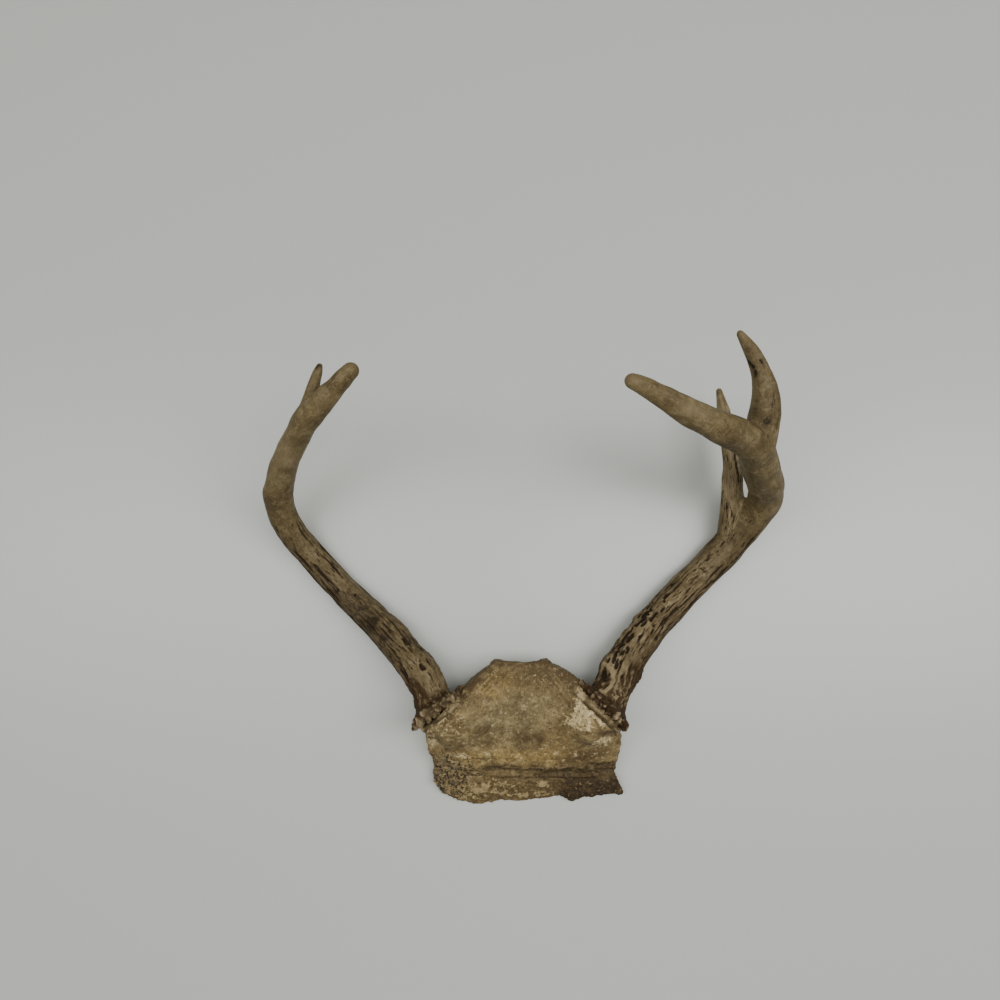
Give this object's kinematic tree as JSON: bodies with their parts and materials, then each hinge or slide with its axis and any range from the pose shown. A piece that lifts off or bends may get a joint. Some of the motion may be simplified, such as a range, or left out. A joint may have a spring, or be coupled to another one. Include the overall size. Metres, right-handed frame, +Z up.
{
  "type": "deer antlers on skull plate",
  "caption": "Young deer's antler rack on its sawn skull plate, lying brow up, with ridged beams, beaded burrs and curved tines.",
  "frame": {"origin": "on the flat sawn base of the skull plate, midway between the antlers", "axes": "+X across the rack towards the three-point antler, +Y from the brow towards the antler tips, +Z up from the sawn base"},
  "size_m": [0.2809, 0.2373, 0.1167],
  "materials": {
    "skull_bone": "dry stained bone, dull and mottled",
    "antler": "weathered antler, ridged and stained dark near the burr, smoother and satin at the tips"
  },
  "bodies": {
    "root": {"skull_plate": "skull_bone", "right_beam": "antler", "right_beam_tip": "antler", "right_upper_tine": "antler", "right_lower_tine": "antler", "left_beam": "antler", "left_beam_tip": "antler", "left_upper_tine": "antler"}
  },
  "joints": []
}
